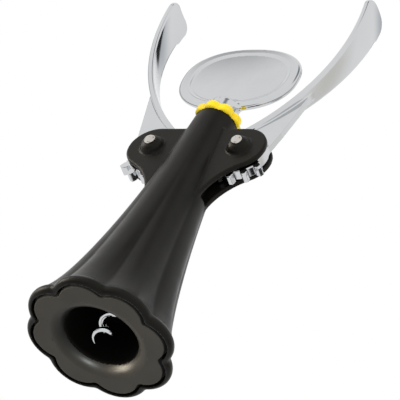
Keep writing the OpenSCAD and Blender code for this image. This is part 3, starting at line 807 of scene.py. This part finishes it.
def make_world():
    """White to the camera and in reflections, and a soft grey fill for the rest."""
    fill = 0.45
    world = bpy.data.worlds.new("studio")
    scene.world = world
    world.use_nodes = True
    nodes, links = world.node_tree.nodes, world.node_tree.links
    path = nodes.new("ShaderNodeLightPath")
    seen = path.outputs["Is Camera Ray"]
    for name in ("Is Glossy Ray", "Is Transmission Ray"):
        either = nodes.new("ShaderNodeMath")
        either.operation = "MAXIMUM"
        links.new(seen, either.inputs[0])
        links.new(path.outputs[name], either.inputs[1])
        seen = either.outputs["Value"]
    strength = nodes.new("ShaderNodeMapRange")
    strength.inputs["To Min"].default_value = fill
    links.new(seen, strength.inputs["Value"])
    links.new(strength.outputs["Result"], nodes["Background"].inputs["Strength"])
    nodes["Background"].inputs["Color"].default_value = (1, 1, 1, 1)


def aim(location, target):
    """Matrix of a lamp, card or camera that looks from one point to another."""
    back = (Vector(location) - Vector(target)).normalized()
    turn = (-back).to_track_quat("-Z", "Y").to_matrix().to_4x4()
    return Matrix.Translation(Vector(location) * MM) @ turn


def make_lamp(name, location, size, power, colour=(1, 1, 1), glints=False, only=()):
    """A soft lamp, which shows in reflections only if it glints, and can be kept to some pieces."""
    data = bpy.data.lights.new(name, "AREA")
    data.shape = "RECTANGLE"
    data.size, data.size_y = size[0] * MM, size[1] * MM
    data.energy = power
    data.color = colour
    lamp = bpy.data.objects.new(name, data)
    scene.collection.objects.link(lamp)
    lamp.matrix_world = aim(location, MIDDLE)
    lamp.visible_glossy = glints
    if only:
        lit = bpy.data.collections.new(f"{name}_lit")
        for piece in only:
            lit.objects.link(bpy.data.objects[piece])
        lamp.light_linking.receiver_collection = lit


def make_card(name, start, end, width, shade, edge):
    """A soft oval card from one point to another, which only reflections show: it draws the dark lines
    and the greys in the chrome. Its edge is the share of it that fades out."""
    start, end = Vector(start), Vector(end)
    side = (end - start).cross((start + end) / 2 - Vector(MIDDLE)).normalized() * width / 2
    card = mesh_object(name, [start - side, start + side, end + side, end - side], [(0, 1, 2, 3)])
    corners = card.data.uv_layers.new().data
    for corner, place in zip(corners, ((-1, -1), (1, -1), (1, 1), (-1, 1))):
        corner.uv = place
    material = bpy.data.materials.new(name)
    material.use_nodes = True
    nodes, links = material.node_tree.nodes, material.node_tree.links
    oval = nodes.new("ShaderNodeTexGradient")
    oval.gradient_type = "SPHERICAL"
    links.new(nodes.new("ShaderNodeTexCoord").outputs["UV"], oval.inputs["Vector"])
    fade = nodes.new("ShaderNodeMapRange")
    fade.interpolation_type = "SMOOTHSTEP"
    fade.inputs["From Max"].default_value = edge
    links.new(oval.outputs["Fac"], fade.inputs["Value"])
    paper = nodes.new("ShaderNodeEmission")
    paper.inputs["Color"].default_value = (*shade, 1)
    mix = nodes.new("ShaderNodeMixShader")
    links.new(fade.outputs["Result"], mix.inputs["Fac"])
    links.new(nodes.new("ShaderNodeBsdfTransparent").outputs["BSDF"], mix.inputs[1])
    links.new(paper.outputs["Emission"], mix.inputs[2])
    links.new(mix.outputs["Shader"], nodes["Material Output"].inputs["Surface"])
    card.data.materials.append(material)
    card.visible_camera = False
    card.visible_shadow = False
    card.visible_diffuse = False


def make_camera():
    """The photograph's view: from below the foot, to the right, with the screw axis leaning right."""
    azimuth, elevation, roll = math.radians(38.6), math.radians(-41.0), math.radians(28.3)
    target, distance = Vector((4.4, 10.1, 102.9)), 1790
    lens, sensor, near, far = 360, 36, 0.05, 20
    back = Vector((math.sin(azimuth) * math.cos(elevation), -math.cos(azimuth) * math.cos(elevation),
                   math.sin(elevation)))
    right = Vector((0, 0, 1)).cross(back).normalized()
    up = back.cross(right)
    leaned_right = right * math.cos(roll) + up * math.sin(roll)
    leaned_up = up * math.cos(roll) - right * math.sin(roll)
    turn = Matrix((leaned_right, leaned_up, back)).transposed().to_4x4()
    data = bpy.data.cameras.new("photo_camera")
    data.lens, data.sensor_width = lens, sensor
    data.clip_start, data.clip_end = near, far
    camera = bpy.data.objects.new("photo_camera", data)
    scene.collection.objects.link(camera)
    camera.matrix_world = Matrix.Translation((target + back * distance) * MM) @ turn
    scene.camera = camera


make_floor()
make_world()
make_lamp("key_lamp", (-500, -900, 700), (700, 700), 10)
make_lamp("right_lamp", (900, -500, 250), (500, 800), 6)
make_lamp("back_lamp", (200, 900, 700), (800, 500), 4)
SHEEN = ("moulded_body", "moulded_mouth")
GLEAM = ("moulded_mouth",)
make_lamp("left_sheen", (-1100, 100, 600), (700, 700), 1.0, glints=True, only=SHEEN)
make_lamp("floor_sheen", (-650, 800, -800), (1000, 1000), 1.0, (1, 0.95, 0.88), True, SHEEN)
make_lamp("warm_sheen", (-935, -500, 349), (600, 600), 8, (1, 0.9, 0.78), True, ("moulded_body",))
make_lamp("cool_gleam", (462, -666, -870), (420, 420), 42, (0.85, 0.92, 1), True, GLEAM)
make_lamp("warm_gleam", (-830, -565, -447), (700, 700), 85, (1, 0.9, 0.78), True, GLEAM)
DARK, GREY = (0.02, 0.02, 0.02), (0.25, 0.26, 0.28)
COOL, WARM = (0.55, 0.57, 0.60), (0.78, 0.77, 0.72)
make_card("front_card", (260, -800, 650), (60, -250, 1100), 500, GREY, 0.6)
make_card("key_card", (-580, -420, 930), (-360, -520, 930), 300, GREY, 1.0)
make_card("left_card", (-950, -250, 300), (-750, 150, 900), 450, COOL, 0.6)
make_card("top_card", (600, 500, 1150), (-300, 900, 1000), 500, COOL, 1.0)
make_card("side_card", (1100, 0, 700), (700, 1000, 0), 900, WARM, 1.0)
make_card("streak_card", (38, 237, 443), (-62, 217, 451), 95, DARK, 0.3)
make_card("low_left_card", (-750, -500, -500), (150, -900, -500), 350, DARK, 0.3)
make_card("low_right_card", (450, 600, -620), (820, 590, 0), 350, DARK, 0.5)
make_camera()
scene.view_settings.view_transform = "Standard"
